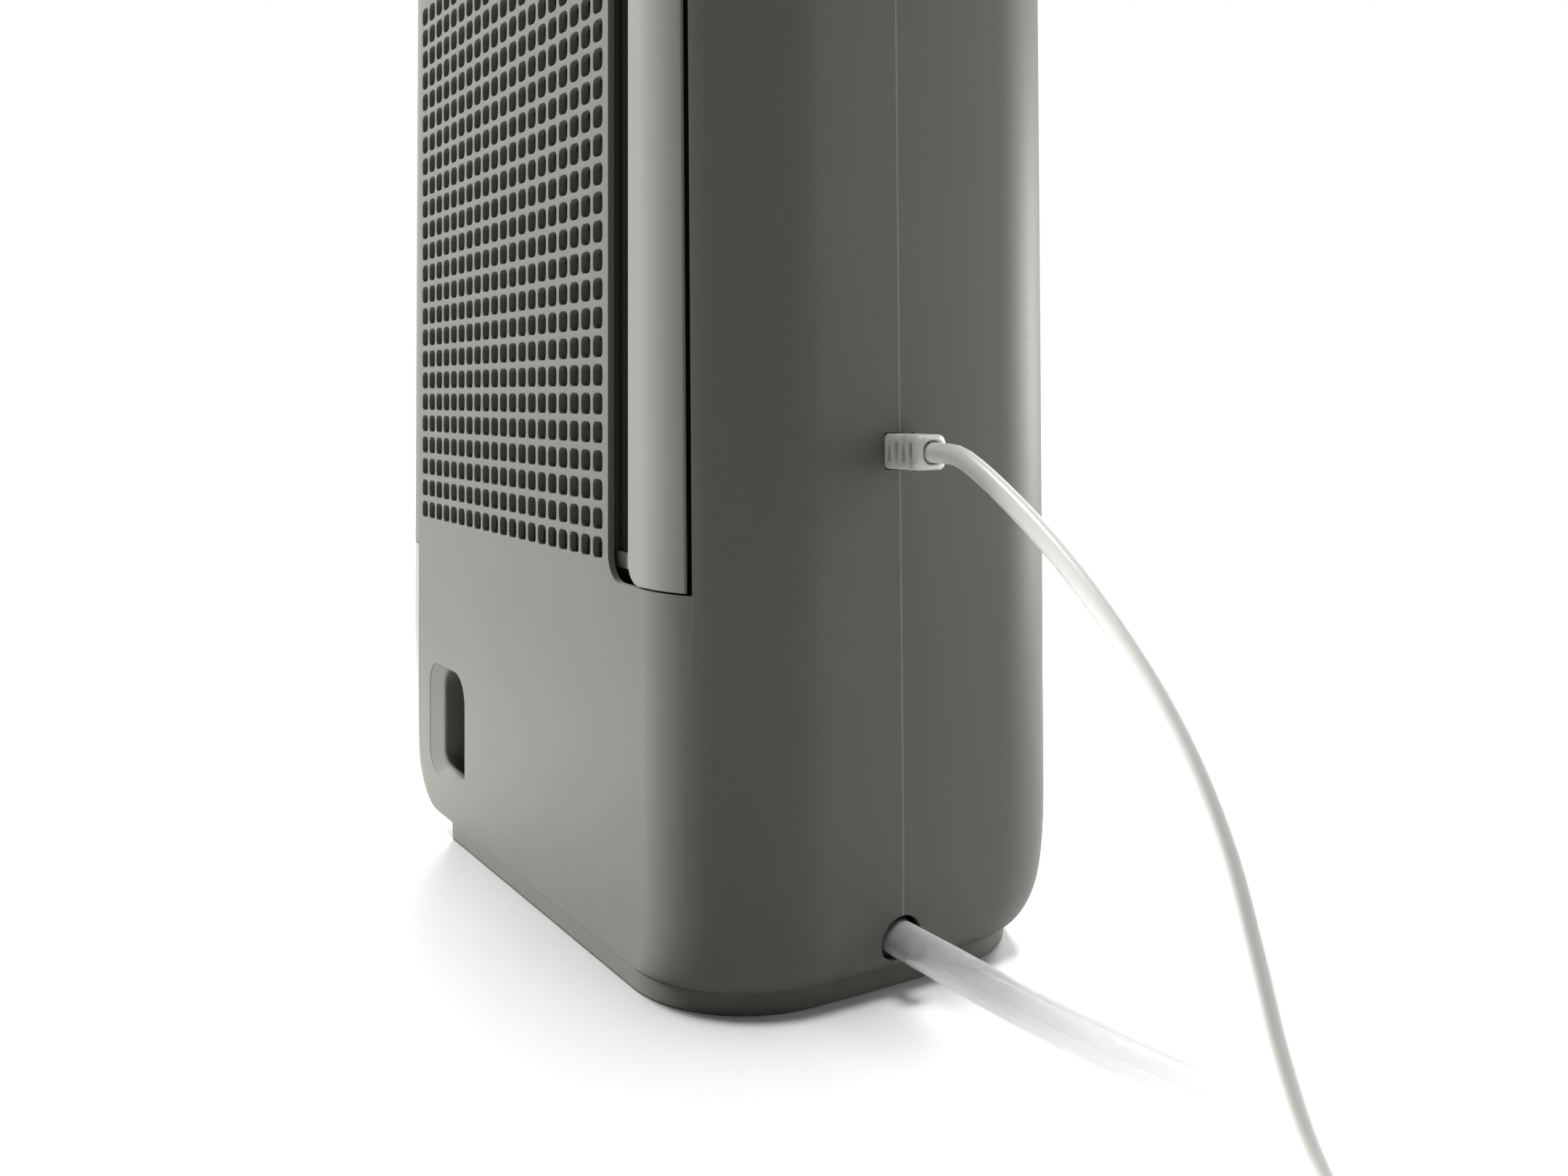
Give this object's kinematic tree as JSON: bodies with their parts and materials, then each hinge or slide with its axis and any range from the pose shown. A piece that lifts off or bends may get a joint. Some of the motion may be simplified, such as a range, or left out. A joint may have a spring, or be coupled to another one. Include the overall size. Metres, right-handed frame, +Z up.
{
  "type": "dehumidifier",
  "caption": "Slim upright dehumidifier with a slide-out tank, side-pull filter behind a rear grille, top louvre, carry handle, drain hose and mains lead.",
  "frame": {"origin": "on the floor, in the underside of the plinth, level with the middle of the widest part of the casing and 90 mm in front of the rear face", "axes": "+Z up, +X along the wide faces towards the tank's end, +Y out of the rear grille"},
  "size_m": [0.6927, 0.283, 0.488],
  "materials": {
    "casing": "fine satin texture",
    "dark_plastic": "satin",
    "black_gloss": "gloss",
    "light_plastic": "satin",
    "white_plastic": "satin",
    "tank_plastic": "fine satin texture",
    "clear_plastic": "clear",
    "filter_net": "woven net",
    "zeolite": "dry, chalky",
    "steel": "brushed",
    "zinc_sheet": "zinc-plated sheet",
    "rubber": "matte",
    "circuit_board": "solder mask",
    "cord_vinyl": "satin vinyl"
  },
  "bodies": {
    "casing": {"rear_shell": "casing", "front_shell": "casing", "top_cover": "casing", "base_pan": "casing", "grip_cup": "casing", "level_window": "clear_plastic", "chassis": "dark_plastic", "foot_1": "rubber", "foot_2": "rubber", "foot_3": "rubber", "foot_4": "rubber", "base_screw_1": "steel", "base_screw_2": "steel", "base_screw_3": "steel", "base_screw_4": "steel", "tank_switch": "dark_plastic", "filter_housing": "dark_plastic", "condenser": "light_plastic", "rotor_housing": "dark_plastic", "rotor_axle": "steel", "rotor_motor": "zinc_sheet", "heater_cover": "zinc_sheet", "fan_scroll": "dark_plastic", "fan_motor": "zinc_sheet", "regen_blower": "dark_plastic", "drip_tray": "light_plastic", "drain_pipe": "clear_plastic", "drain_spigot": "dark_plastic", "control_panel": "black_gloss", "display_lens": "clear_plastic", "control_board": "circuit_board", "handle_pin_near": "steel", "handle_pin_far": "steel", "main_board": "circuit_board", "humidity_sensor": "white_plastic", "cable_gland": "light_plastic", "power_cord": "cord_vinyl", "power_cord_coil": "cord_vinyl", "cord_tie": "rubber", "power_plug": "cord_vinyl", "drain_hose": "clear_plastic", "drain_hose_coil": "clear_plastic", "hose_tie": "rubber"},
    "tank": {"water_tank": "tank_plastic", "tank_lid": "dark_plastic"},
    "float": {"tank_float": "white_plastic"},
    "filter": {"filter_frame": "dark_plastic", "filter_mesh": "filter_net", "filter_grip_bar": "casing"},
    "rotor": {"desiccant_rotor": "zeolite"},
    "pinion": {"rotor_pinion": "white_plastic"},
    "fan": {"fan_wheel": "dark_plastic"},
    "blower_wheel": {"regen_wheel": "light_plastic"},
    "louvre_flap": {"louvre": "casing"},
    "handle": {"carry_handle": "casing"},
    "power_key": {"button_power": "light_plastic"},
    "mode_key": {"button_mode": "light_plastic"},
    "humidity_key": {"button_humidity": "light_plastic"},
    "timer_key": {"button_timer": "light_plastic"}
  },
  "joints": [
    {"name": "tank_slide", "type": "slide", "parent": "casing", "child": "tank", "axis": [1, 0, 0], "range_m": [0, 0.19]},
    {"name": "float_hinge", "type": "hinge", "parent": "tank", "child": "float", "pos_m": [-0.046, -0.008, 0.118], "axis": [0, -1, 0], "range_deg": [0, 10]},
    {"name": "filter_slide", "type": "slide", "parent": "casing", "child": "filter", "axis": [-1, 0, 0], "range_m": [0, 0.235]},
    {"name": "rotor_spin", "type": "hinge", "parent": "casing", "child": "rotor", "pos_m": [0.01, 0.037, 0.283], "axis": [0, 1, 0], "continuous": true},
    {"name": "pinion_spin", "type": "hinge", "parent": "casing", "child": "pinion", "pos_m": [0.08531, 0.037, 0.20769], "axis": [0, 1, 0], "continuous": true},
    {"name": "fan_spin", "type": "hinge", "parent": "casing", "child": "fan", "pos_m": [0.002, -0.06, 0.283], "axis": [0, 1, 0], "continuous": true},
    {"name": "blower_spin", "type": "hinge", "parent": "casing", "child": "blower_wheel", "pos_m": [-0.113, -0.042, 0.07], "axis": [0, 1, 0], "continuous": true},
    {"name": "louvre_hinge", "type": "hinge", "parent": "casing", "child": "louvre_flap", "pos_m": [0, 0.0195, 0.4858], "axis": [-1, 0, 0], "range_deg": [0, 70]},
    {"name": "handle_hinge", "type": "hinge", "parent": "casing", "child": "handle", "pos_m": [0, 0.0695, 0.4805], "axis": [-1, 0, 0], "range_deg": [0, 90]},
    {"name": "power_press", "type": "slide", "parent": "casing", "child": "power_key", "axis": [0, 0, -1], "range_m": [0, 0.001], "stiffness_N_per_m": 400},
    {"name": "mode_press", "type": "slide", "parent": "casing", "child": "mode_key", "axis": [0, 0, -1], "range_m": [0, 0.001], "stiffness_N_per_m": 400},
    {"name": "humidity_press", "type": "slide", "parent": "casing", "child": "humidity_key", "axis": [0, 0, -1], "range_m": [0, 0.001], "stiffness_N_per_m": 400},
    {"name": "timer_press", "type": "slide", "parent": "casing", "child": "timer_key", "axis": [0, 0, -1], "range_m": [0, 0.001], "stiffness_N_per_m": 400}
  ],
  "couplings": [
    {"joint": "pinion_spin", "follows": "rotor_spin", "ratio": -12.25}
  ]
}
